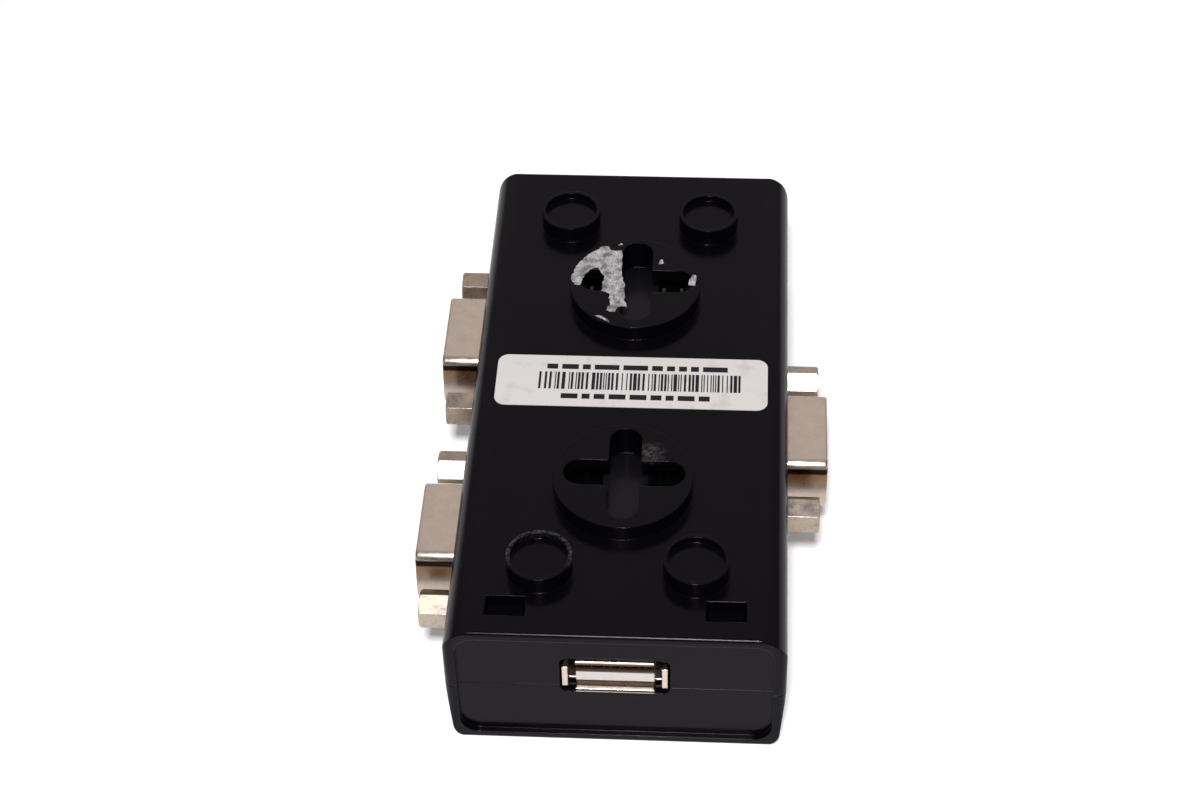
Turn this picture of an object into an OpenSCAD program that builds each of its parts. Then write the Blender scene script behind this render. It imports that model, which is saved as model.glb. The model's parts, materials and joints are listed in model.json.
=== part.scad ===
// Two-computer KVM switch, drawn with its underside up and resting on its top cover.
// X runs across the case, Y runs from the front USB end to the uplink end, Z is up.

/* [Case] */
// Length of the case
case_length = 89.2; // [86:0.1:92]
// Width of the case at the parting line
case_width = 43.6; // [42:0.1:46]
// Height of the case without feet
case_height = 21; // [20:0.1:23]
// Height of the parting line
parting_height = 10.4; // [9:0.1:12]
// Wall thickness
wall = 2; // [1.6:0.1:2.4]
// Rounding of the long edges on the underside
underside_round = 4; // [3:0.1:5]
// Rounding of the long edges on the top cover
cover_round = 2.4; // [1.5:0.1:3]
// Depth of the recessed end panels
panel_depth = 0.8; // [0.4:0.1:1]

/* [Underside] */
// Outer radius of a foot collar
foot_radius = 4.25; // [4:0.05:5]
// Radius of the recess that takes the foot pad
foot_recess_radius = 3.7; // [3.4:0.05:4.4]
// Height of a foot collar
foot_height = 2.5; // [2:0.1:3]
// Depth of the pad recess
foot_recess = 1; // [0.6:0.1:1.6]
// Half spacing of the feet across the case
foot_x = 10; // [9:0.1:12]
// Half spacing of the feet along the case
foot_y = 33.4; // [30:0.1:36]
// Radius of a hanging boss
boss_radius = 9.2; // [8.5:0.1:10]
// Height of a hanging boss
boss_height = 2.35; // [2:0.05:3]
// Length of a hanging slot
slot_length = 16; // [14:0.1:17]
// Width of a hanging slot
slot_width = 4.4; // [4.1:0.1:4.8]

/* [Connectors] */
// Depth the video flanges sit below the case side
flange_setback = 0.5; // [0:0.1:1]
// Height of the video connector axis
video_height = 10.5; // [10:0.1:11]
// Distance between the two jack nuts of a video connector
jack_spacing = 24.99; // [24.9:0.01:25.1]
// Distance across the flats of a jack nut
jack_flats = 4.5; // [4.3:0.05:4.8]
// Height of the D shell
shell_h = 7.9; // [7.7:0.05:8.4]
// Position of the far computer video connector along the case
video_far_y = 17.5; // [17.2:0.1:17.8]
// Position of the near computer video connector along the case
video_near_y = -19.4; // [-19.9:0.1:-19]
// Position of the monitor video connector along the case
video_monitor_y = -1; // [-3:0.1:-0.9]
// Height of the USB receptacle axis
usb_height = 12.45; // [12:0.05:13]

/* [Button] */
// Radius of the push button
button_radius = 4.9; // [4:0.1:6]
// Travel of the push button
button_travel = 0.3; // [0.2:0.05:0.5]

/* [Hidden] */
$fn = 48;
e = 0.01;
half_w = case_width / 2;
half_l = case_length / 2;
base_half_w = half_w - 0.8;
top_half_w = half_w - 0.12;
cavity_half_w = half_w - wall;
cavity_half_l = half_l - wall;
cavity_top = case_height - wall;
seam = 0.05;
rim = 1.6;
edge_round = 0.5;
corner_round = 1.2;
underside = case_height;
left_post = [-17, -1.1];
right_post = [17, 16.05];
boss_y = [-19.1, 18.1];
cross_shift = 0.45;
boss_face = 1.9;
board_low = 16.4;
board_thickness = 1.6;
board_high = board_low + board_thickness;
board_half_w = 19.3;
board_half_l = 42.2;
latch_x = 13.9;
latch_y = -39.8;
latch_w = 5.1;
latch_l = 3.2;
video_x = half_w - flange_setback;
shell_reach = 6;
jack_reach = 4.9;
jack_chamfer = 0.25;
jack_bore = 1.42;
screw_hole = 1.85;
shell_wide = 16.33;
shell_lean = 10;
shell_round = 1.35;
shell_wall = 0.45;
flange_l = 30.8;
flange_h = 12.5;
flange_t = 0.8;
pin_pitch = 2.29;
pin_row = 1.98;
pin_size = 0.6;
tail_out = 0.7;
leg_top = board_high + tail_out;
peg_radius = 1.15;
bar_top = 18.6;
usb_w = 13.1;
usb_h = 5.7;
usb_depth = 14;
usb_wall = 0.35;
usb_inner_h = usb_h - 2 * usb_wall;
usb_mouth = 0.55;
tongue_t = 1.84;
tongue_low = usb_height - usb_inner_h / 2 + 0.7;
tongue_high = tongue_low + tongue_t;
contact_low = tongue_high - 0.29;
usb_tail = usb_depth + 0.3;
keyboard_y = 24.7;
mouse_y = -29.3;
side_usb_x = half_w - 0.35;
uplink_x = 9;
uplink_w = 7.7;
uplink_h = 3.9;
uplink_depth = 9.2;
uplink_wall = 0.35;
uplink_tail = uplink_depth + 0.3;
uplink_z = board_low - uplink_h / 2;
button_hole = button_radius + 0.1;
button_face = 0.35;
button_flange = 2.05;
switch_h = 3.5;
switch_low = board_low - switch_h;
plunger_proud = 1.5;
plunger_bore = 2.4;
plunger_tip = switch_low - plunger_proud;
plunger_length = plunger_proud + plunger_bore - 3 * button_travel;
led_x = 5.2;
led_y = 22;
led_radius = 1.5;
led_tip = 0.3;

// Plain shapes

module box_at(x, y, z, size_x, size_y, size_z) {
  translate([x - size_x / 2, y - size_y / 2, z])
    cube([size_x, size_y, size_z]);
}

module rounded_rect(w, l, r) {
  square([w - 2 * r, l], center = true);
  square([w, l - 2 * r], center = true);
  for (sx = [-1, 1], sy = [-1, 1])
    translate([sx * (w / 2 - r), sy * (l / 2 - r)])
      circle(r);
}

module stadium(length, width) {
  square([length - width, width], center = true);
  for (s = [-1, 1])
    translate([s * (length - width) / 2, 0])
      circle(width / 2);
}

// Half profile of a leaning side, tangent to a rounded base corner
function lean_points(base_x, lean, r) =
  let (t = r / tan((90 + lean) / 2))
  [[base_x - t, 0], [base_x + t * sin(lean), t * cos(lean)]];

module mirrored_round(base_x, lean, r) {
  t = r / tan((90 + lean) / 2);
  for (s = [-1, 1])
    translate([s * (base_x - t), r])
      circle(r);
}

// Case

module case_section() {
  low_lean = atan((half_w - base_half_w) / parting_height);
  high_lean = atan((half_w - top_half_w) / (case_height - parting_height));
  low = lean_points(base_half_w, low_lean, cover_round);
  high = lean_points(top_half_w, high_lean, underside_round);
  right = [low[0], low[1], [half_w, parting_height],
    [high[1][0], case_height - high[1][1]], [high[0][0], case_height]];
  left = [for (i = [4:-1:0]) [-right[i][0], right[i][1]]];
  polygon(concat(right, left));
  mirrored_round(base_half_w, low_lean, cover_round);
  translate([0, case_height])
    mirror([0, 1])
      mirrored_round(top_half_w, high_lean, underside_round);
}

module case_envelope() {
  intersection() {
    translate([0, half_l, 0])
      rotate([90, 0, 0])
        linear_extrude(case_length)
          case_section();
    linear_extrude(case_height)
      rounded_rect(case_width, case_length, corner_round);
    translate([-half_w, 0, case_height / 2])
      rotate([90, 0, 90])
        linear_extrude(case_width)
          rounded_rect(case_length, case_height, edge_round);
  }
}

module end_panel_recess(side) {
  translate([0, side * half_l, case_height / 2])
    rotate([90, 0, 0])
      translate([0, 0, -panel_depth])
        linear_extrude(2 * panel_depth)
          rounded_rect(case_width - 2 * rim - 0.1, case_height - 2.4, 2.6);
}

module cavity(low, high) {
  translate([0, 0, low])
    linear_extrude(high - low)
      rounded_rect(2 * cavity_half_w, 2 * cavity_half_l, 1);
}

module video_window(side, y) {
  box_at(side * (half_w - 1), y, video_height - flange_h / 2 - 0.2, 4, flange_l + 0.4, flange_h + 0.4);
}

module usb_window_shape() {
  rounded_rect(usb_w + 0.9, usb_h + 0.9, 1);
}

module connector_windows() {
  video_window(-1, video_far_y);
  video_window(-1, video_near_y);
  video_window(1, video_monitor_y);
  translate([0, -half_l + 4, usb_height])
    rotate([90, 0, 0])
      linear_extrude(5)
        usb_window_shape();
  for (y = [keyboard_y, mouse_y])
    translate([half_w - 4, y, usb_height])
      rotate([90, 0, 90])
        linear_extrude(5)
          usb_window_shape();
  for (s = [-1, 1])
    translate([s * uplink_x, half_l + 1, uplink_z])
      rotate([90, 0, 0])
        linear_extrude(5)
          rounded_rect(uplink_w + 0.8, uplink_h + 0.8, 0.6);
}

module foot_collar(x, y) {
  translate([x, y, underside - e])
    difference() {
      cylinder(h = foot_height + e, r = foot_radius);
      translate([0, 0, foot_height - foot_recess + e])
        cylinder(h = foot_recess + 1, r = foot_recess_radius);
    }
}

module cross_slots(y) {
  translate([0.15, y + cross_shift, cavity_top - 1]) {
    linear_extrude(wall + boss_height + 2)
      stadium(slot_length, slot_width + 0.1);
    linear_extrude(wall + boss_height + 2)
      rotate(90)
        stadium(slot_length, slot_width - 0.1);
  }
}

module hanging_pocket(y) {
  translate([0, y, cavity_top - e])
    cylinder(h = wall + boss_height - boss_face + e, r = boss_radius - 1.3);
}

module guard_bar(y) {
  length = 2 * boss_radius - 0.6;
  box_at(0.15, y, bar_top - 0.45, slot_width + 1.6, length, 0.45);
  for (s = [-1, 1])
    translate([0.15 - slot_width / 2 - 0.8, y + s * (length / 2 - 0.15) - 0.15, bar_top - 0.45])
      cube([slot_width + 1.6, 0.3, cavity_top - bar_top + 0.6]);
}

module latch_window(x) {
  box_at(x, latch_y, cavity_top - 1, latch_w, latch_l, wall + 2);
}

module bottom_cover() {
  color([0.04, 0.04, 0.045]) {
    difference() {
      union() {
        intersection() {
          case_envelope();
          translate([-half_w - 1, -half_l - 1, parting_height + seam])
            cube([case_width + 2, case_length + 2, case_height]);
        }
        for (y = boss_y)
          translate([0, y, underside - e])
            cylinder(h = boss_height + e, r = boss_radius, $fn = 96);
        for (sx = [-1, 1], sy = [-1, 1])
          foot_collar(sx * foot_x, sy * foot_y);
      }
      cavity(parting_height - 1, cavity_top);
      end_panel_recess(-1);
      end_panel_recess(1);
      connector_windows();
      for (y = boss_y) {
        cross_slots(y);
        hanging_pocket(y);
      }
      for (s = [-1, 1])
        latch_window(s * latch_x);
    }
    for (y = boss_y)
      guard_bar(y);
    for (s = [-1, 1])
      box_at(s * latch_x, latch_y - latch_l / 2 + 0.3, cavity_top, latch_w + 0.4, 0.8, 0.6);
    for (p = [[-18.3, -35.9], [12.5, -35.9], [-17, 36], [17, 36], left_post, right_post])
      translate([p[0], p[1], board_high])
        cylinder(h = cavity_top - board_high + 0.1, r = 1.6);
  }
}

module clamp_post(x, y) {
  translate([x, y, wall - 0.1])
    cylinder(h = board_low - wall + 0.1, r = 1.7);
}

module latch_arm(x) {
  box_at(x, latch_y + 0.1, wall - 0.1, latch_w - 0.7, 1.2, cavity_top + 1.4 - wall);
  translate([x - (latch_w - 0.7) / 2, latch_y - 0.5, cavity_top + 0.65])
    rotate([90, 0, 90])
      linear_extrude(latch_w - 0.7)
        polygon([[0.1, 0], [-0.7, 0], [-0.7, 0.2], [0.1, 0.65]]);
}

module lip() {
  difference() {
    translate([0, 0, parting_height - 1.5])
      linear_extrude(2.5)
        difference() {
          rounded_rect(2 * cavity_half_w - 0.1, 2 * cavity_half_l - 0.1, 0.95);
          rounded_rect(2 * cavity_half_w - 1.7, 2 * cavity_half_l - 1.7, 0.4);
        }
    connector_windows();
    for (y = [video_far_y, video_near_y])
      box_at(-half_w, y, 0, 12, flange_l + 0.4, case_height);
    box_at(half_w, video_monitor_y, 0, 12, flange_l + 0.4, case_height);
  }
}

module lip_root() {
  difference() {
    translate([0, 0, parting_height - 1.5])
      linear_extrude(1)
        difference() {
          rounded_rect(2 * cavity_half_w + 0.4, 2 * cavity_half_l + 0.4, 1.2);
          rounded_rect(2 * cavity_half_w - 1.7, 2 * cavity_half_l - 1.7, 0.4);
        }
    connector_windows();
    for (y = [video_far_y, video_near_y])
      box_at(-half_w, y, 0, 12, flange_l + 0.4, case_height);
    box_at(half_w, video_monitor_y, 0, 12, flange_l + 0.4, case_height);
  }
}

module top_cover() {
  color([0.04, 0.04, 0.045]) {
    difference() {
      intersection() {
        case_envelope();
        translate([-half_w - 1, -half_l - 1, -1])
          cube([case_width + 2, case_length + 2, parting_height - seam + 1]);
      }
      cavity(wall, parting_height + 1);
      end_panel_recess(-1);
      end_panel_recess(1);
      connector_windows();
      translate([0, 0, -1])
        cylinder(h = wall + 2, r = button_hole);
      for (s = [-1, 1])
        translate([s * led_x, led_y, -1])
          cylinder(h = wall + 2, r = led_radius + 0.1);
    }
    lip();
    lip_root();
    for (p = [[-9, -39.5], [9, -39.5], [17, -20.2], [-17, 38], [17, 38], left_post, right_post])
      clamp_post(p[0], p[1]);
    for (s = [-1, 1])
      latch_arm(s * latch_x);
  }
}

// Circuit board

module pin_holes() {
  for (row = [-1:1], i = [-2:2])
    translate([-pin_tail(row), pin_y(row, i), board_low - video_height - 1])
      cylinder(h = board_thickness + 2, r = 0.5, $fn = 16);
  for (s = [-1, 1])
    translate([-5, s * jack_spacing / 2, board_low - video_height - 1])
      cylinder(h = board_thickness + 2, r = peg_radius + 0.05);
}

module usb_holes() {
  for (s = [-1, 1])
    translate([s * usb_w / 2, -3.5, board_low - 1])
      cylinder(h = board_thickness + 2, r = 0.9, $fn = 24);
  for (x = [-3.5, -1, 1, 3.5])
    translate([x, -usb_tail, board_low - 1])
      cylinder(h = board_thickness + 2, r = 0.5, $fn = 16);
}

module uplink_holes() {
  for (s = [-1, 1], y = [-2.4, -7.2])
    translate([s * uplink_w / 2, y, board_low - 1])
      cylinder(h = board_thickness + 2, r = 0.8, $fn = 24);
}

module main_board() {
  color([0.02, 0.22, 0.1])
    difference() {
      translate([0, 0, board_low])
        linear_extrude(board_thickness)
          rounded_rect(2 * board_half_w, 2 * board_half_l, 1);
      for (s = [-1, 1])
        box_at(s * (latch_x + 2), latch_y - 1, board_low - 1, 10, 6.4, board_thickness + 2);
      video_place(-1, video_far_y)
        pin_holes();
      video_place(-1, video_near_y)
        pin_holes();
      video_place(1, video_monitor_y)
        pin_holes();
      front_usb_place()
        usb_holes();
      side_usb_place(keyboard_y)
        usb_holes();
      side_usb_place(mouse_y)
        usb_holes();
      for (s = [-1, 1])
        uplink_place(s)
          uplink_holes();
      for (sx = [-1, 1], s = [-1, 1])
        translate([sx * led_x + s * 1.27, led_y, board_low - 1])
          cylinder(h = board_thickness + 2, r = 0.4, $fn = 16);
    }
}

module rating_label() {
  color([0.85, 0.85, 0.83])
    translate([0.25, 0.5, underside])
      linear_extrude(0.12)
        rounded_rect(37.2, 9.75, 1.5);
}

// Video connectors, drawn facing +X with the flange front at x = 0

function pin_tail(row) = 7.5 - 2 * row;
function pin_y(row, i) = (i + (row == 0 ? 0.25 : -0.25)) * pin_pitch;

module video_place(side, y) {
  translate([side * video_x, y, video_height])
    rotate([0, 0, side > 0 ? 0 : 180])
      children();
}

module d_outline(inset) {
  r = shell_round - inset;
  h = shell_h - 2 * inset;
  wide = shell_wide / 2 - inset * (1 + sin(shell_lean)) / cos(shell_lean);
  narrow = wide - h * tan(shell_lean);
  low = [wide - r / tan((90 - shell_lean) / 2), -h / 2 + r];
  high = [narrow - r / tan((90 + shell_lean) / 2), h / 2 - r];
  reach = r - 0.003;
  side = reach * [cos(shell_lean), sin(shell_lean)];
  right = [low - [0, reach], low + side, high + side, high + [0, reach]];
  left = [for (i = [3:-1:0]) [-right[i][0], right[i][1]]];
  polygon(concat(right, left));
  for (s = [-1, 1], centre = [low, high])
    translate([s * centre[0], centre[1]])
      circle(r);
}

module d_block(from, length, inset) {
  translate([from, 0, 0])
    rotate([90, 0, 90])
      linear_extrude(length)
        d_outline(inset);
}

module video_shell() {
  color([0.72, 0.68, 0.62]) {
    difference() {
      union() {
        translate([-flange_t, 0, 0])
          rotate([90, 0, 90])
            linear_extrude(flange_t)
              rounded_rect(flange_l, flange_h, 1.2);
        d_block(-e, shell_reach + e, 0);
      }
      d_block(-flange_t - 1, shell_reach + flange_t + 2, shell_wall);
      for (s = [-1, 1])
        translate([-flange_t - 1, s * jack_spacing / 2, 0])
          rotate([0, 90, 0])
            cylinder(h = flange_t + 2, r = screw_hole);
    }
  }
}

module video_insulator() {
  color([0.05, 0.12, 0.45])
    difference() {
      union() {
        d_block(-3.5, 3.5 + shell_reach - 0.3, shell_wall);
        box_at(-flange_t - 1.6, 0, -flange_h / 2 + 0.3, 3.2, 22.4, flange_h - 0.8);
        for (s = [-1, 1]) {
          box_at(-flange_t - 4.6, s * 12.6, board_low - video_height - 7.8, 9.2, 4.8, 7.8);
          translate([-5, s * jack_spacing / 2, board_low - video_height - 0.1])
            cylinder(h = board_thickness + 0.4, r = peg_radius);
        }
      }
      for (s = [-1, 1])
        translate([-7, s * jack_spacing / 2, 0])
          rotate([0, 90, 0])
            cylinder(h = 20, r = screw_hole);
      for (row = [-1:1], i = [-2:2])
        translate([-12, pin_y(row, i), row * pin_row])
          rotate([0, 90, 0])
            cylinder(h = 20, r = 0.5, $fn = 24);
    }
}

module video_contacts() {
  color([0.85, 0.7, 0.35])
    for (row = [-1:1], i = [-2:2]) {
      tail = pin_tail(row);
      z = row * pin_row - pin_size / 2;
      translate([-tail - pin_size / 2, pin_y(row, i) - pin_size / 2, z])
        cube([tail + 4.8, pin_size, pin_size]);
      translate([-tail - pin_size / 2, pin_y(row, i) - pin_size / 2, z])
        cube([pin_size, pin_size, leg_top - video_height - z]);
    }
}

// Hexagonal head with its outer corners turned off
module jack_head(turn) {
  corner = jack_flats / sqrt(3);
  end = corner - jack_chamfer;
  intersection() {
    rotate(turn)
      cylinder(h = jack_reach, r = corner, $fn = 6);
    cylinder(h = jack_reach, r1 = end + jack_reach, r2 = end);
  }
}

// Each nut stops at the angle it was tightened to
module video_jack_nuts(turns) {
  color([0.75, 0.72, 0.66])
    for (i = [0, 1])
      translate([0, (2 * i - 1) * jack_spacing / 2, 0])
        rotate([0, 90, 0])
          difference() {
            union() {
              jack_head(turns[i]);
              translate([0, 0, -5])
                cylinder(h = 5 + e, r = jack_bore);
            }
            translate([0, 0, jack_reach - 4.2])
              cylinder(h = 5, r = jack_bore);
          }
}

// USB receptacles, drawn facing +Y with the mouth at y = 0 and the board above

module front_usb_place() {
  translate([0, -half_l + usb_mouth, 0])
    rotate([0, 0, 180])
      children();
}

module side_usb_place(y) {
  translate([side_usb_x, y, 0])
    rotate([0, 0, -90])
      children();
}

module uplink_place(side) {
  translate([side * uplink_x, half_l - usb_mouth, 0])
    children();
}

module usb_shell() {
  color([0.72, 0.7, 0.66]) {
    translate([0, 0, usb_height])
      rotate([90, 0, 0])
        difference() {
          linear_extrude(usb_depth)
            rounded_rect(usb_w, usb_h, 0.6);
          translate([0, 0, -1])
            linear_extrude(usb_depth + 2)
              rounded_rect(usb_w - 2 * usb_wall, usb_h - 2 * usb_wall, 0.3);
          for (sx = [-1, 1], sz = [-1, 1])
            translate([sx * 6, sz * 2.8, 0])
              cube([2, 2, 4], center = true);
        }
    for (s = [-1, 1]) {
      box_at(s * 6.35, -0.3, usb_height - 1.8, 0.7, 0.6, 3.6);
      box_at(0, -0.3, usb_height + s * 2.7 - 0.3, 10, 0.6, 0.6);
      box_at(s * (usb_w - usb_wall) / 2, -3.5, usb_height, usb_wall, 1.5, leg_top - usb_height);
      box_at(s * 5, -9, usb_height + usb_h / 2 - 0.1, 1.2, 3, board_low - usb_height - usb_h / 2 + 0.1);
    }
  }
}

module usb_tongue() {
  color([0.88, 0.86, 0.84])
    difference() {
      union() {
        box_at(0, -5.75, tongue_low, 10, 9.5, tongue_t);
        box_at(0, -11.75, usb_height - usb_inner_h / 2, usb_w - 2 * usb_wall - 0.6, 2.5, usb_inner_h);
      }
      for (x = [-3.5, -1, 1, 3.5])
        box_at(x, -8.2, contact_low - 0.06, 1.1, 13.4, 0.4);
    }
}

module usb_contacts() {
  color([0.85, 0.7, 0.35])
    for (x = [-3.5, -1, 1, 3.5]) {
      translate([x - 0.45, -usb_tail - 0.15, contact_low])
        cube([0.9, usb_tail - 1.5, 0.25]);
      box_at(x, -usb_tail, contact_low, 0.6, 0.3, leg_top - contact_low);
    }
}

module uplink_outline(inset) {
  w = uplink_w / 2 - inset;
  h = uplink_h / 2 - inset;
  polygon([[-w, h], [w, h], [w, -0.4 + inset / 2], [w - 0.7, -h], [0.7 - w, -h], [-w, -0.4 + inset / 2]]);
}

module uplink_shell() {
  color([0.72, 0.7, 0.66]) {
    translate([0, 0, uplink_z])
      rotate([90, 0, 0])
        difference() {
          linear_extrude(uplink_depth)
            uplink_outline(0);
          translate([0, 0, -1])
            linear_extrude(uplink_depth + 2)
              uplink_outline(uplink_wall);
        }
    for (s = [-1, 1], y = [-2.4, -7.2])
      box_at(s * (uplink_w - uplink_wall) / 2, y, uplink_z + 0.5, uplink_wall, 1.2, board_high - uplink_z);
  }
}

module uplink_insert() {
  color([0.08, 0.08, 0.08])
    difference() {
      translate([0, 0, uplink_z])
        rotate([90, 0, 0])
          union() {
            translate([0, 0, 5.6])
              linear_extrude(uplink_depth - 5.8)
                uplink_outline(uplink_wall);
            translate([-2.2, -0.7, 0.8])
              cube([4.4, 1.2, 6]);
          }
      for (i = [-2:2])
        box_at(i * 0.8, -5.4, uplink_z - 0.75, 0.4, 8.4, 0.35);
    }
}

module uplink_contacts() {
  color([0.85, 0.7, 0.35])
    for (i = [-2:2]) {
      translate([i * 0.8 - 0.15, -uplink_tail - 0.1, uplink_z - 0.7])
        cube([0.3, uplink_tail - 1.3, 0.2]);
      translate([i * 0.8 - 0.15, -uplink_tail - 0.1, uplink_z - 0.7])
        cube([0.3, 0.2, board_low - uplink_z + 0.7]);
      translate([i * 0.8 - 0.15, -uplink_tail - 1.1, board_low - 0.2])
        cube([0.3, 1.1, 0.2]);
    }
}

// Button, switch, indicators and board components

module push_button() {
  color([0.12, 0.12, 0.13]) {
    translate([0, 0, button_face])
      cylinder(h = button_flange - button_face + 0.1, r = button_radius);
    translate([0, 0, button_flange])
      cylinder(h = 0.9, r = button_radius + 1.1);
    translate([0, 0, button_flange])
      cylinder(h = plunger_tip - 0.05 - button_flange, r = 2);
  }
}

module switch_body() {
  color([0.1, 0.1, 0.1])
    difference() {
      box_at(0, 0, switch_low, 6, 6, switch_h);
      translate([0, 0, switch_low - 1])
        cylinder(h = plunger_bore + 1, r = 1.8);
    }
  color([0.7, 0.7, 0.7])
    for (sx = [-1, 1], sy = [-1, 1])
      box_at(sx * 3.6, sy * 2.25, board_low - 0.3, 1.4, 0.7, 0.3);
}

module switch_plunger() {
  color([0.05, 0.05, 0.05])
    translate([0, 0, plunger_tip])
      cylinder(h = plunger_length, r = 1.72);
}

module indicator(side) {
  base = led_tip + led_radius;
  color([0.55, 0.85, 0.6])
    translate([side * led_x, led_y, 0]) {
      translate([0, 0, base])
        rotate_extrude()
          intersection() {
            translate([0, -led_radius])
              square([led_radius, led_radius + e]);
            circle(led_radius);
          }
      translate([0, 0, base])
        cylinder(h = 3.6, r = led_radius);
      translate([0, 0, base + 3])
        cylinder(h = 0.8, r = led_radius + 0.4);
      for (s = [-1, 1])
        translate([s * 1.27 - 0.22, -0.22, base + 3.7])
          cube([0.44, 0.44, leg_top - base - 3.7]);
    }
}

module chip(w, l, h, count, pitch) {
  color([0.05, 0.05, 0.05])
    box_at(0, 0, board_low - 0.15 - h, w, l, h);
  color([0.75, 0.75, 0.74])
    for (s = [-1, 1], i = [0:count - 1])
      translate([(i - (count - 1) / 2) * pitch, s * (l / 2 + 0.45), board_low])
        gull_lead(s);
}

module gull_lead(s) {
  box_at(0, -s * 0.25, -0.95, 0.25, 0.6, 0.15);
  box_at(0, 0, -0.95, 0.25, 0.15, 0.95);
  box_at(0, s * 0.25, -0.15, 0.25, 0.6, 0.15);
}

module video_switch_ic() {
  translate([-2.5, 13, 0])
    chip(12.5, 6.1, 1, 24, 0.5);
}

module usb_switch_ic() {
  translate([-2.5, -10, 0])
    chip(10.2, 5.3, 1.6, 14, 0.65);
}

module controller_ic() {
  translate([-2.5, -19, 0])
    chip(8.7, 3.9, 1.4, 7, 1.27);
}

module crystal() {
  color([0.75, 0.75, 0.74]) {
    translate([-2.5, -25.5, board_low - 3.8])
      linear_extrude(3.4)
        stadium(10.6, 3.9);
    translate([-2.5, -25.5, board_low - 0.5])
      linear_extrude(0.5)
        stadium(11.2, 4.6);
  }
}

module capacitors() {
  for (p = [[6.8, 9], [6.8, -9], [6.8, -15.5]])
    translate([p[0], p[1], 0]) {
      color([0.7, 0.7, 0.7])
        translate([0, 0, board_low - 5.8])
          cylinder(h = 5.2, r = 2.5);
      color([0.06, 0.06, 0.06])
        box_at(0, 0, board_low - 0.8, 5.3, 5.3, 0.8);
    }
}

bottom_cover();
top_cover();
main_board();
rating_label();
video_place(-1, video_far_y) video_shell();  // video_pc1_shell
video_place(-1, video_far_y) video_insulator();  // video_pc1_insulator
video_place(-1, video_far_y) video_contacts();  // video_pc1_contacts
video_place(-1, video_far_y) video_jack_nuts([20, 16]);  // video_pc1_jack_nuts
video_place(-1, video_near_y) video_shell();  // video_pc2_shell
video_place(-1, video_near_y) video_insulator();  // video_pc2_insulator
video_place(-1, video_near_y) video_contacts();  // video_pc2_contacts
video_place(-1, video_near_y) video_jack_nuts([46, 4]);  // video_pc2_jack_nuts
video_place(1, video_monitor_y) video_shell();  // video_out_shell
video_place(1, video_monitor_y) video_insulator();  // video_out_insulator
video_place(1, video_monitor_y) video_contacts();  // video_out_contacts
video_place(1, video_monitor_y) video_jack_nuts([50, 7]);  // video_out_jack_nuts
front_usb_place() usb_shell();  // usb_front_shell
front_usb_place() usb_tongue();  // usb_front_tongue
front_usb_place() usb_contacts();  // usb_front_contacts
side_usb_place(keyboard_y) usb_shell();  // usb_keyboard_shell
side_usb_place(keyboard_y) usb_tongue();  // usb_keyboard_tongue
side_usb_place(keyboard_y) usb_contacts();  // usb_keyboard_contacts
side_usb_place(mouse_y) usb_shell();  // usb_mouse_shell
side_usb_place(mouse_y) usb_tongue();  // usb_mouse_tongue
side_usb_place(mouse_y) usb_contacts();  // usb_mouse_contacts
uplink_place(-1) uplink_shell();  // uplink_pc1_shell
uplink_place(-1) uplink_insert();  // uplink_pc1_insert
uplink_place(-1) uplink_contacts();  // uplink_pc1_contacts
uplink_place(1) uplink_shell();  // uplink_pc2_shell
uplink_place(1) uplink_insert();  // uplink_pc2_insert
uplink_place(1) uplink_contacts();  // uplink_pc2_contacts
push_button();
switch_body();
switch_plunger();
indicator(-1);  // led_pc1
indicator(1);  // led_pc2
video_switch_ic();
usb_switch_ic();
controller_ic();
crystal();
capacitors();
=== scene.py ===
"""Looks for a two-computer KVM switch that lies underside up.

Materials, label print, torn sticker, light and camera. The frame holds the CAD pieces.
"""

import json
import math
import random

import bmesh
import bpy
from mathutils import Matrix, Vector

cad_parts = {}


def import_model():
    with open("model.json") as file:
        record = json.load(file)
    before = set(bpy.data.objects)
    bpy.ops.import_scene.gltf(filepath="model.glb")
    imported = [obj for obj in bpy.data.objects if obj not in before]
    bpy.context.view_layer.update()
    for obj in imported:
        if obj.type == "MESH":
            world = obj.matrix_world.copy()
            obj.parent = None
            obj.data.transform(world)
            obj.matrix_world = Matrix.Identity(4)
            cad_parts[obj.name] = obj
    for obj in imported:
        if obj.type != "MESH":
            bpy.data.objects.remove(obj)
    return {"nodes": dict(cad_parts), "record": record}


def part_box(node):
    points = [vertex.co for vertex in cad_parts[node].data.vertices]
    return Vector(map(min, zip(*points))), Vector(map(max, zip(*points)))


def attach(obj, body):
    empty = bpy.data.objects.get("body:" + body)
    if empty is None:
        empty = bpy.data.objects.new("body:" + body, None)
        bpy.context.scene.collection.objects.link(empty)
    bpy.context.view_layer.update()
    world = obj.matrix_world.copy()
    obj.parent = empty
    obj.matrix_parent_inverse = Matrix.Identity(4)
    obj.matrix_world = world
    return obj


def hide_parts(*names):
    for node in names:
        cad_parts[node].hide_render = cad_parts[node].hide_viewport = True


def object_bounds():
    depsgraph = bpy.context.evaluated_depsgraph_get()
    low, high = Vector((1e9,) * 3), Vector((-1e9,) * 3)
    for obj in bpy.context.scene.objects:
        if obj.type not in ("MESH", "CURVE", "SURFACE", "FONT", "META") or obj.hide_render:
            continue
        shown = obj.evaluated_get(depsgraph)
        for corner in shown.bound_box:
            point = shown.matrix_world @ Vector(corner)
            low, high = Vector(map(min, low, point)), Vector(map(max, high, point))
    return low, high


MM = 0.001
FOOT_X = 10.0  # middle of a foot collar, mm
FOOT_Y = 33.4
BOSS_Y = (-19.1, 18.1)  # middles of the two hanging bosses, mm
BOSS_TOP = 23.35
INK = 0.015  # thickness of the label print, mm
LIP = 0.38  # rounding of a video shell's lip, mm

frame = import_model()
cad_low, cad_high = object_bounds()
nodes = frame["nodes"]

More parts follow.
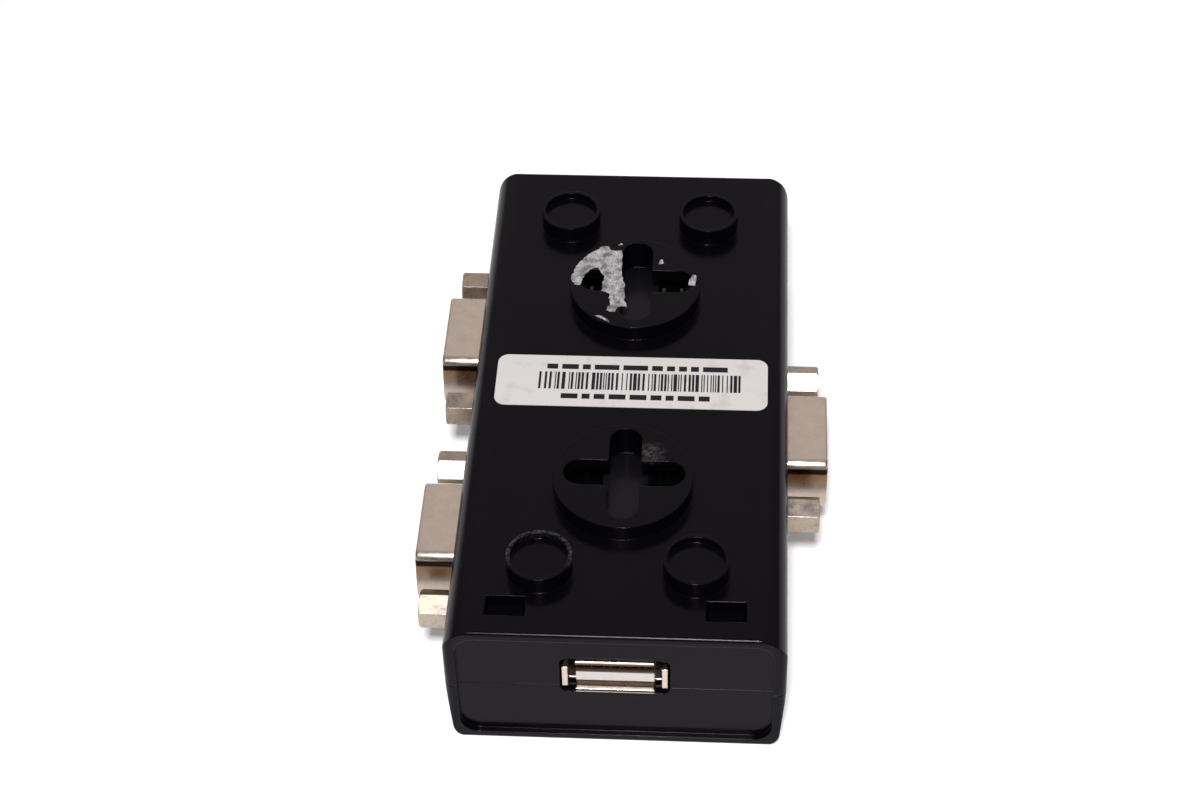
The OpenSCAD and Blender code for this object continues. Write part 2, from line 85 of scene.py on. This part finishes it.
# Material building blocks


class Surface:
    """A procedural material in object coordinates, in metres, around one Principled shader."""

    def __init__(self, name, color, roughness, metallic=0.0, specular=0.5):
        self.material = bpy.data.materials.new(name)
        self.material.use_nodes = True
        self.tree = self.material.node_tree
        self.tree.nodes.clear()
        self.shader = self.add("ShaderNodeBsdfPrincipled")
        output = self.add("ShaderNodeOutputMaterial")
        self.link(self.shader.outputs[0], output.inputs[0])
        self.set("Base Color", (*color, 1))
        self.set("Roughness", roughness)
        self.set("Metallic", metallic)
        self.set("Specular IOR Level", specular)
        self.place = self.add("ShaderNodeTexCoord").outputs["Object"]

    def add(self, kind, **settings):
        node = self.tree.nodes.new(kind)
        for key, value in settings.items():
            setattr(node, key, value)
        return node

    def link(self, source, target):
        self.tree.links.new(source, target)

    def set(self, socket, value):
        if isinstance(value, bpy.types.NodeSocket):
            self.link(value, self.shader.inputs[socket])
        else:
            self.shader.inputs[socket].default_value = value

    def math(self, operation, a, b=0.0, clamp=False):
        node = self.add("ShaderNodeMath", operation=operation, use_clamp=clamp)
        for socket, value in zip(node.inputs, (a, b)):
            if isinstance(value, bpy.types.NodeSocket):
                self.link(value, socket)
            else:
                socket.default_value = value
        return node.outputs[0]

    def along(self, axis):
        """The object coordinate along an axis (0, 1 or 2), in metres."""
        parts = self.add("ShaderNodeSeparateXYZ")
        self.link(self.place, parts.inputs[0])
        return parts.outputs[axis]

    def stretched(self, x, y, z):
        """Object coordinates scaled along each axis."""
        node = self.add("ShaderNodeMapping")
        node.inputs["Scale"].default_value = (x, y, z)
        self.link(self.place, node.inputs["Vector"])
        return node.outputs[0]

    def noise(self, size_mm, detail=2.0, place=None, roughness=0.5):
        """Noise whose features are about size_mm across, from 0 to 1."""
        node = self.add("ShaderNodeTexNoise")
        node.inputs["Scale"].default_value = 1 / (size_mm * MM)
        node.inputs["Detail"].default_value = detail
        node.inputs["Roughness"].default_value = roughness
        self.link(place or self.place, node.inputs["Vector"])
        return node.outputs["Fac"]

    def span(self, value, low, high, out_low=0.0, out_high=1.0):
        """value from low..high brought to out_low..out_high, and held there outside."""
        node = self.add("ShaderNodeMapRange")
        self.link(value, node.inputs[0])
        for socket, number in zip(node.inputs[1:5], (low, high, out_low, out_high)):
            socket.default_value = number
        return node.outputs[0]

    def mix(self, factor, a, b, blend="MIX"):
        """Colour a to colour b by factor, or to a times b with blend MULTIPLY."""
        node = self.add("ShaderNodeMix", data_type="RGBA", blend_type=blend)
        self.link(factor, node.inputs[0])
        for socket, value in zip((node.inputs[6], node.inputs[7]), (a, b)):
            if isinstance(value, bpy.types.NodeSocket):
                self.link(value, socket)
            else:
                socket.default_value = (*value, 1)
        return node.outputs[2]

    def bands(self, stops):
        """A colour by height, blended between (height in mm, colour) stops in rising order."""
        low, high = stops[0][0], stops[-1][0]
        ramp = self.add("ShaderNodeValToRGB")
        self.link(self.span(self.along(2), low * MM, high * MM), ramp.inputs[0])
        elements = ramp.color_ramp.elements
        elements[1].color = (*stops[-1][1], 1)
        elements[0].color = (*stops[0][1], 1)
        for height, color in stops[1:-1]:
            elements.new((height - low) / (high - low)).color = (*color, 1)
        return ramp.outputs[0]

    def relief(self, heights, round_mm=0.0):
        """Bumps from (height socket, depth in mm) pairs, over edges rounded by round_mm."""
        normal = None
        if round_mm:
            bevel = self.add("ShaderNodeBevel", samples=6)
            bevel.inputs["Radius"].default_value = round_mm * MM
            normal = bevel.outputs[0]
        for height, depth_mm in heights:
            bump = self.add("ShaderNodeBump")
            bump.inputs["Strength"].default_value = 1.0
            bump.inputs["Distance"].default_value = depth_mm * MM
            self.link(height, bump.inputs["Height"])
            if normal:
                self.link(normal, bump.inputs["Normal"])
            normal = bump.outputs[0]
        self.set("Normal", normal)


def tinted(color, factor):
    return tuple(channel * factor for channel in color)


# Materials

def near_ring(surface, x_mm, y_mm, radius_mm, width_mm):
    """1 on a ring of that radius round a vertical axis, falling to 0 at width_mm either side."""
    shift = surface.add("ShaderNodeMapping")
    shift.inputs["Location"].default_value = (-x_mm * MM, -y_mm * MM, 0)
    shift.inputs["Scale"].default_value = (1, 1, 0)
    surface.link(surface.place, shift.inputs["Vector"])
    length = surface.add("ShaderNodeVectorMath", operation="LENGTH")
    surface.link(shift.outputs[0], length.inputs[0])
    off = surface.math("SUBTRACT", length.outputs["Value"], radius_mm * MM)
    return surface.span(surface.math("ABSOLUTE", off), 0, width_mm * MM, 1, 0)


def past(surface, axis, start_mm, end_mm):
    """0 up to start_mm along an axis (0, 1 or 2), 1 from end_mm."""
    return surface.span(surface.along(axis), start_mm * MM, end_mm * MM)


def case_plastic():
    """Glossy black, with glue left on one collar and beside one boss.

    The sheen is lowered on the two long sides and in the latch windows as painted shade, and the
    bars under the hanging slots are lighter as painted light. Those three are painted to match the
    photograph.
    """
    black = (0.0016, 0.0013, 0.0021)
    s = Surface("case_plastic", black, 0.3, specular=0.1)
    s.set("Specular Tint", (1, 0.87, 1.06, 1))
    grain = s.noise(0.16, 3)
    cloud = s.noise(9, 3)
    scuff = s.noise(0.5, 4, s.stretched(0.22, 1, 1))
    dust = s.span(s.noise(0.3, 2), 0.74, 0.82)
    ring = s.math("MULTIPLY", near_ring(s, -FOOT_X, -FOOT_Y, 4.3, 0.75), past(s, 1, -35.5, -33.5))
    smear = near_ring(s, 3.6, -14.9, 0, 2.2)
    spread = s.math("MULTIPLY", s.math("MAXIMUM", ring, smear), past(s, 2, 22.5, 23.1))
    glue = s.math("MULTIPLY", spread, s.span(s.noise(0.5, 5), 0.4, 0.62))
    faint_dust = s.math("MULTIPLY", dust, 0.06)
    marks = s.math("MAXIMUM", faint_dust, s.math("MULTIPLY", glue, 0.6), clamp=True)
    # Painted light: the bars under the hanging slots, down in their recess, are painted a lighter grey.
    bosses = [near_ring(s, 0.15, y, 0, 12) for y in BOSS_Y]
    guard = s.math("MULTIPLY", s.math("MAXIMUM", *bosses), past(s, 2, 19.3, 18.7))
    body = s.mix(cloud, tinted(black, 0.8), tinted(black, 1.25))
    bars_painted_lighter = s.mix(guard, body, (0.0085, 0.0078, 0.009))
    s.set("Base Color", s.mix(marks, bars_painted_lighter, (0.11, 0.1, 0.1)))
    rough = s.math("ADD", s.span(cloud, 0.3, 0.7, 0.16, 0.22), s.span(scuff, 0.55, 0.8, 0, 0.12))
    s.set("Roughness", s.math("ADD", rough, s.math("MULTIPLY", marks, 0.4), clamp=True))
    # Painted shade: less sheen on the two long sides and in the latch windows.
    out = s.math("ABSOLUTE", s.along(0))
    row = s.math("MULTIPLY", past(s, 1, -37.5, -37.8), past(s, 1, -42.4, -42.1))
    windows = s.math("MULTIPLY", row, s.span(out, 19 * MM, 18.5 * MM))
    latch = s.math("MULTIPLY", windows, past(s, 2, 20.6, 20.4))
    sides = s.span(out, 19.8 * MM, 21.4 * MM, 0.1, 0.05)
    s.set("Specular IOR Level", s.math("MULTIPLY", sides, s.span(latch, 0, 1, 1, 0)))
    s.relief([(grain, 0.004), (cloud, 0.02)], round_mm=0.22)
    return s.material


def button_plastic():
    grey = (0.03, 0.03, 0.033)
    s = Surface("button_plastic", grey, 0.45, specular=0.3)
    s.set("Base Color", s.mix(s.noise(1.5, 4), tinted(grey, 0.85), tinted(grey, 1.2)))
    s.set("Roughness", s.span(s.noise(0.6, 4), 0.3, 0.7, 0.36, 0.52))
    s.relief([(s.noise(0.12, 2), 0.004)], round_mm=0.3)
    return s.material


def moulded_plastic(name, color, roughness):
    s = Surface(name, color, roughness, specular=0.4)
    s.set("Base Color", s.mix(s.noise(0.9, 4), tinted(color, 0.9), tinted(color, 1.06)))
    s.set("Roughness", s.span(s.noise(0.35, 3), 0.3, 0.7, roughness - 0.07, roughness + 0.08))
    s.relief([(s.noise(0.1, 2), 0.002)], round_mm=0.08)
    return s.material


def tongue_plastic():
    """White, with its upper edge painted dark as painted shade, so that it looks as thin as in the
    photograph.
    """
    white = (0.6, 0.57, 0.56)
    s = Surface("white_plastic", white, 0.38, specular=0.4)
    unmarked = s.mix(s.noise(0.9, 4), tinted(white, 0.9), tinted(white, 1.06))
    # Painted shade: above 12.24 mm the tongue turns dark brown.
    s.set("Base Color", s.mix(past(s, 2, 12.24, 12.32), unmarked, (0.06, 0.036, 0.026)))
    s.set("Roughness", s.span(s.noise(0.35, 3), 0.3, 0.7, 0.31, 0.46))
    s.relief([(s.noise(0.1, 2), 0.002)], round_mm=0.08)
    return s.material


def nickel(name, color, roughness, brush, pits, round_mm):
    """Plated metal, as its surface and its colour: drawn lines, cloudy haze and fine pits."""
    s = Surface(name, color, roughness, metallic=1.0)
    lines = s.noise(0.18, 3, s.stretched(*brush))
    haze = s.noise(1.6, 4)
    spots = s.span(s.noise(0.5, 3), 0.6, 0.85)
    plate = s.mix(spots, s.mix(haze, tinted(color, 1.04), tinted(color, 0.92)), tinted(color, 0.8))
    even = s.span(haze, 0.3, 0.7, roughness - 0.06, roughness + 0.08)
    rough = s.math("ADD", even, s.math("MULTIPLY", lines, 0.1))
    s.set("Roughness", s.math("ADD", rough, s.math("MULTIPLY", spots, 0.15), clamp=True))
    s.relief([(lines, 0.0015), (haze, 0.006), (s.noise(0.2, 3), pits)], round_mm=round_mm)
    return s, plate


def nut_nickel():
    """Coarser plating, speckled with dull spots and clouded with gold."""
    color = (0.43, 0.375, 0.34)
    s, plate = nickel("nickel_nuts", color, 0.32, (0.1, 1, 1), 0.014, 0.12)
    speckled = s.mix(s.span(s.noise(0.42, 4), 0.46, 0.64), plate, tinted(color, 0.66))
    gilt = s.span(s.noise(3.2, 1), 0.36, 0.72)
    s.set("Base Color", s.mix(gilt, speckled, (0.56, 0.44, 0.33)))
    return s.material


def shell_nickel():
    """Socket shells, with dark bands below the bends of the D shells and at the front lips.

    The bands are painted where the photograph shows reflections.
    """
    s, plate = nickel("nickel_shell", (0.66, 0.55, 0.47), 0.24, (0.15, 1, 1), 0.001, 0.3)
    beyond = s.span(s.math("ABSOLUTE", s.along(0)), 21.6 * MM, 21.8 * MM)
    unmarked, dark = (1, 1, 1), (0.02, 0.015, 0.014)
    # Painted reflections: dark and brown bands by height on the D shells outside the case side.
    painted_reflection_bands = s.bands(((6.5, (0.4, 0.38, 0.36)), (7.3, (0.8, 0.8, 0.8)), (9.4, (0.66, 0.64, 0.63)),
                    (10.5, (0.3, 0.3, 0.3)), (11.4, (0.32, 0.25, 0.18)), (12.5, (0.3, 0.2, 0.13)),
                    (12.75, dark), (13.45, dark), (13.8, unmarked)))
    # Painted reflections: dark bands by height at the front socket's lips.
    lips = s.bands(((9.6, unmarked), (9.66, dark), (9.93, dark), (9.98, unmarked),
                    (14.7, unmarked), (14.82, (0.2, 0.14, 0.1)), (15.17, (0.2, 0.14, 0.1)), (15.24, unmarked)))
    color = s.mix(beyond, plate, painted_reflection_bands, "MULTIPLY")
    front = past(s, 1, -43.0, -43.3)
    s.set("Base Color", s.mix(front, color, lips, "MULTIPLY"))
    return s.material


def gold():
    color = (0.8, 0.55, 0.2)
    s = Surface("gold_contacts", color, 0.25, metallic=1.0)
    s.set("Base Color", s.mix(s.noise(0.4, 3), color, tinted(color, 0.8)))
    s.set("Roughness", s.span(s.noise(0.2, 3), 0.3, 0.7, 0.18, 0.32))
    s.relief([(s.noise(0.15, 2), 0.002)], round_mm=0.05)
    return s.material


def label_paper():
    white = (0.6, 0.57, 0.555)
    s = Surface("label_film", white, 0.5, specular=0.35)
    fibre = s.noise(0.22, 4)
    wear = s.span(s.noise(2.4, 5), 0.56, 0.75)
    unmarked = s.mix(fibre, tinted(white, 0.94), tinted(white, 1.05))
    s.set("Base Color", s.mix(wear, unmarked, tinted(white, 0.82)))
    s.set("Roughness", s.span(fibre, 0.3, 0.7, 0.42, 0.58))
    s.relief([(fibre, 0.004), (s.noise(5, 2), 0.03)], round_mm=0.05)
    return s.material


def print_ink():
    ink = (0.012, 0.012, 0.016)
    s = Surface("label_ink", ink, 0.5, specular=0.1)
    s.set("Base Color", s.mix(s.span(s.noise(0.15, 3), 0.55, 0.8), ink, tinted(ink, 4)))
    s.set("Roughness", s.span(s.noise(0.3, 3), 0.3, 0.7, 0.42, 0.6))
    return s.material


def torn_paper():
    white = (0.42, 0.41, 0.42)
    s = Surface("torn_paper", white, 0.85, specular=0.2)
    fibre = s.span(s.noise(0.17, 5, s.stretched(1, 0.4, 1), 0.65), 0.36, 0.64)
    thin = s.span(s.noise(1.1, 5), 0.42, 0.66)
    thick = s.mix(fibre, tinted(white, 0.5), tinted(white, 1.4))
    s.set("Base Color", s.mix(thin, thick, tinted(white, 0.3)))
    s.set("Roughness", s.span(fibre, 0.3, 0.7, 0.75, 0.95))
    s.relief([(fibre, 0.03), (s.noise(0.9, 3), 0.06)])
    return s.material


def circuit_board():
    # Dark green solder mask, darkened further as painted shade for the inside of the case.
    green = (0.0002, 0.0009, 0.0008)
    s = Surface("circuit_board", green, 0.35, specular=0.05)
    tracks = s.span(s.noise(0.9, 0, s.stretched(1, 0.18, 1)), 0.49, 0.51)
    s.set("Base Color", s.mix(tracks, green, tinted(green, 2)))
    s.set("Roughness", s.span(s.noise(0.5, 3), 0.3, 0.7, 0.28, 0.42))
    s.relief([(tracks, 0.015), (s.noise(0.25, 3), 0.003)], round_mm=0.08)
    return s.material


def chip_resin():
    black = (0.011, 0.011, 0.012)
    s = Surface("chip_resin", black, 0.6, specular=0.35)
    s.set("Base Color", s.mix(s.noise(0.2, 3), tinted(black, 0.8), tinted(black, 1.5)))
    s.set("Roughness", s.span(s.noise(0.15, 3), 0.3, 0.7, 0.52, 0.7))
    s.relief([(s.noise(0.08, 2), 0.004)], round_mm=0.06)
    return s.material


def led_resin():
    """Clear green up to the lens flange, dull grey for the leads above it."""
    tint = (0.45, 0.78, 0.5)
    s = Surface("led_resin", tint, 0.12)
    leads = past(s, 2, 5.6, 5.8)
    s.set("Transmission Weight", s.span(leads, 0, 1, 0.6, 0))
    s.set("IOR", 1.53)
    lens = s.mix(s.noise(0.7, 2), tint, tinted(tint, 0.85))
    s.set("Base Color", s.mix(leads, lens, (0.03, 0.028, 0.027)))
    smooth = s.span(s.noise(0.4, 2), 0.3, 0.7, 0.08, 0.18)
    s.set("Roughness", s.math("ADD", smooth, s.math("MULTIPLY", leads, 0.4)))
    s.relief([(s.noise(0.6, 2), 0.004)])
    return s.material


def drawn_can(name, color, roughness):
    s = Surface(name, color, roughness, metallic=1.0)
    lines = s.noise(0.12, 2, s.stretched(1, 1, 0.1))
    s.set("Base Color", s.mix(s.noise(1.2, 3), color, tinted(color, 0.85)))
    s.set("Roughness", s.span(lines, 0.3, 0.7, roughness - 0.06, roughness + 0.1))
    s.relief([(lines, 0.002)], round_mm=0.15)
    return s.material


materials = {
    "case_plastic": case_plastic(),
    "button_plastic": button_plastic(),
    "circuit_board": circuit_board(),
    "label_film": label_paper(),
    "gold_contacts": gold(),
    "blue_plastic": moulded_plastic("blue_plastic", (0.012, 0.04, 0.26), 0.42),
    "nickel_nuts": nut_nickel(),
    "nickel_shell": shell_nickel(),
    "white_plastic": tongue_plastic(),
    "black_plastic": moulded_plastic("black_plastic", (0.012, 0.012, 0.013), 0.45),
    "led_resin": led_resin(),
    "chip_resin": chip_resin(),
    "crystal_can": drawn_can("crystal_can", (0.7, 0.7, 0.69), 0.25),
    "capacitor_can": drawn_can("capacitor_can", (0.76, 0.76, 0.77), 0.3),
}
for part in frame["record"]["subparts"]:
    mesh = nodes[part["node"]].data
    mesh.materials.clear()
    mesh.materials.append(materials[part["material_slot"]])

# Rounded lips on the video sockets


def rounded_lip(node):
    """A copy of a D shell in its place, with the outer edge of its open end rounded off."""
    source = nodes[node]
    bm = bmesh.new()
    bm.from_mesh(source.data)
    bmesh.ops.remove_doubles(bm, verts=bm.verts, dist=0.001 * MM)
    bmesh.ops.dissolve_limit(bm, angle_limit=math.radians(1), verts=bm.verts, edges=bm.edges)
    end = max(abs(vert.co.x) for vert in bm.verts) - 0.01 * MM
    rim = [edge for edge in bm.edges if all(abs(vert.co.x) > end for vert in edge.verts)]
    middle = sum((edge.verts[0].co for edge in rim), Vector()) / len(rim)

    def outer(edge):
        side = [face for face in edge.link_faces if abs(face.normal.x) < 0.5]
        return side and side[0].normal.dot(edge.verts[0].co - middle) > 0

    bmesh.ops.bevel(bm, geom=[edge for edge in rim if outer(edge)], offset=LIP * MM,
                    segments=4, profile=0.5, affect="EDGES", clamp_overlap=True)
    for face in bm.faces:
        face.smooth = True
    mesh = bpy.data.meshes.new(node + "_rounded")
    bm.to_mesh(mesh)
    bm.free()
    mesh.set_sharp_from_angle(angle=math.radians(35))
    mesh.materials.append(materials["nickel_shell"])
    copy = bpy.data.objects.new(node + "_rounded", mesh)
    bpy.context.scene.collection.objects.link(copy)
    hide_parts(node)
    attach(copy, "case")


for shell in ("video_pc1_shell", "video_pc2_shell", "video_out_shell"):
    rounded_lip(shell)

# Label print and residue


def new_piece(name, bm, material):
    """A finished mesh as an object that rides on the case."""
    mesh = bpy.data.meshes.new(name)
    bmesh.ops.recalc_face_normals(bm, faces=bm.faces)
    bm.to_mesh(mesh)
    bm.free()
    mesh.materials.append(material)
    piece = bpy.data.objects.new(name, mesh)
    bpy.context.scene.collection.objects.link(piece)
    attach(piece, "case")


def slab(bm, outline, low, high):
    """Adds a closed plate with that outline, a list of (x, y) in mm, from low to high in mm."""
    rings = [[bm.verts.new((x * MM, y * MM, z * MM)) for x, y in outline] for z in (low, high)]
    bm.faces.new(rings[0])
    bm.faces.new(rings[1])
    for i in range(len(outline)):
        j = (i + 1) % len(outline)
        bm.faces.new((rings[0][i], rings[0][j], rings[1][j], rings[1][i]))


label_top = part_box("rating_label")[1].z / MM


def rectangle(x, y, width, height):
    return [(x, y), (x + width, y), (x + width, y + height), (x, y + height)]


def label_bars():
    """Upright bars and spaces of one to three units, in a made-up order."""
    bm = bmesh.new()
    order = random.Random(11)
    unit = 0.158
    x, end = -12.5, 15.1
    while x < end:
        bar = unit * order.choice((1, 1, 1, 2, 2, 3))
        slab(bm, rectangle(x, -1.15, bar, 3.3), label_top, label_top + INK)
        x += bar + unit * order.choice((1, 1, 2, 2, 3))
    new_piece("label_bars", bm, ink)


def label_rows():
    """Plain dashes where a label has lines of print."""
    bm = bmesh.new()
    order = random.Random(4)
    for x, end, y in ((-11.5, 13.9, 2.75), (-9.3, 11.6, -2.95)):
        while x < end - 0.8:
            dash = min(order.choice((1.1, 1.5, 2.3, 3.4)), end - x)
            slab(bm, rectangle(x, y, dash, 0.95), label_top, label_top + INK)
            x += dash + 0.55
    new_piece("label_rows", bm, ink)


def torn(outline, order, swing=0.13):
    """The outline with five short ragged steps on every side."""
    ragged = []
    for (x0, y0), (x1, y1) in zip(outline, outline[1:] + outline[:1]):
        ragged.append((x0, y0))
        for step in range(1, 6):
            x, y = x0 + (x1 - x0) * step / 6, y0 + (y1 - y0) * step / 6
            ragged.append((x + order.uniform(-swing, swing), y + order.uniform(-swing, swing)))
    return ragged


def torn_label():
    """What is left of a sticker that was pulled off the far boss."""
    order = random.Random(8)
    hook = [(-9.1, 18.6), (-8.8, 20.6), (-7.8, 22.6), (-6.7, 24.1), (-5.0, 25.6), (-4.2, 25.7), (-3.7, 24.8),
            (-2.2, 24.8), (-1.9, 19.3), (-1.4, 17.5), (-1.4, 14.7), (-1.0, 13.1), (-2.2, 13.1), (-2.6, 12.0),
            (-3.8, 12.3), (-3.3, 13.7), (-3.7, 15.9), (-4.7, 16.2), (-4.6, 18.2), (-4.4, 19.2), (-5.4, 21.2),
            (-6.6, 20.7), (-7.3, 19.4), (-7.8, 17.4), (-8.6, 17.5)]
    scraps = ([(7.5, 17.9), (8.5, 17.8), (8.6, 19.8), (8.1, 20.1), (7.6, 19.0)],
              [(3.1, 22.1), (3.9, 22.3), (3.7, 23.2), (3.3, 22.9)],
              [(-5.3, 11.2), (-4.2, 10.5), (-3.3, 9.9), (-3.4, 10.3), (-4.5, 11.2)],
              [(-2.8, 26.0), (-2.1, 26.1), (-2.3, 26.5)])
    bm = bmesh.new()
    slab(bm, torn(hook, order), BOSS_TOP + 0.005, BOSS_TOP + 0.07)
    for scrap in scraps:
        slab(bm, torn(scrap, order, 0.07), BOSS_TOP + 0.005, BOSS_TOP + 0.05)
    new_piece("torn_label", bm, torn_paper())


ink = print_ink()
label_bars()
label_rows()
torn_label()

# Floor, light and camera


def floor():
    """A plain pale sheet that glows a little, so that the picture's ground is white."""
    s = Surface("floor", (0.93, 0.93, 0.93), 0.9, specular=0.1)
    s.set("Emission Color", (1, 1, 1, 1))
    s.set("Emission Strength", 0.17)
    s.set("Base Color", s.mix(s.noise(60, 3), (0.92, 0.92, 0.92), (0.95, 0.95, 0.95)))
    bm = bmesh.new()
    bmesh.ops.create_circle(bm, cap_ends=True, segments=96, radius=4)
    mesh = bpy.data.meshes.new("floor")
    bm.to_mesh(mesh)
    bm.free()
    mesh.materials.append(s.material)
    sheet = bpy.data.objects.new("floor", mesh)
    bpy.context.scene.collection.objects.link(sheet)
    sheet.location.z = cad_low.z - 0.02 * MM


def key_light():
    """One square lamp, high on the near side."""
    data = bpy.data.lights.new("key", "AREA")
    data.shape = "RECTANGLE"
    data.size = data.size_y = 0.09
    data.energy = 5.3
    lamp = bpy.data.objects.new("key", data)
    bpy.context.scene.collection.objects.link(lamp)
    lamp.location = (0, -0.38, 0.58)
    aim = Vector((0, 0, 0.01)) - lamp.location
    lamp.rotation_euler = aim.to_track_quat("-Z", "Y").to_euler()


def world():
    """A dim room with one wide tan glow, part way up on the far side."""
    made = bpy.data.worlds.new("studio")
    made.use_nodes = True
    tree = made.node_tree
    place = tree.nodes.new("ShaderNodeTexCoord").outputs["Generated"]
    lean = tree.nodes.new("ShaderNodeVectorMath")
    lean.operation = "DOT_PRODUCT"
    lean.inputs[1].default_value = (0, 0.78, 0.63)
    tree.links.new(place, lean.inputs[0])
    ramp = tree.nodes.new("ShaderNodeValToRGB")
    ramp.color_ramp.elements[0].position = 0.45
    ramp.color_ramp.elements[0].color = (0.035, 0.032, 0.036, 1)
    ramp.color_ramp.elements[1].position = 0.97
    ramp.color_ramp.elements[1].color = (0.69, 0.655, 0.645, 1)
    tree.links.new(lean.outputs["Value"], ramp.inputs[0])
    tree.links.new(ramp.outputs[0], tree.nodes["Background"].inputs["Color"])
    tree.nodes["Background"].inputs["Strength"].default_value = 1.0
    bpy.context.scene.world = made


def camera():
    """The camera that was solved together with the case."""
    data = bpy.data.cameras.new("camera")
    data.sensor_width = 36
    data.lens = 74.02
    data.clip_start = 0.01
    made = bpy.data.objects.new("camera", data)
    bpy.context.scene.collection.objects.link(made)
    made.location = (0.01340, -0.23901, 0.25904)
    made.rotation_euler = [math.radians(angle) for angle in (44.8185, 1.1168, 3.0691)]
    bpy.context.scene.camera = made


floor()
key_light()
world()
camera()
bpy.context.scene.view_settings.view_transform = "Standard"
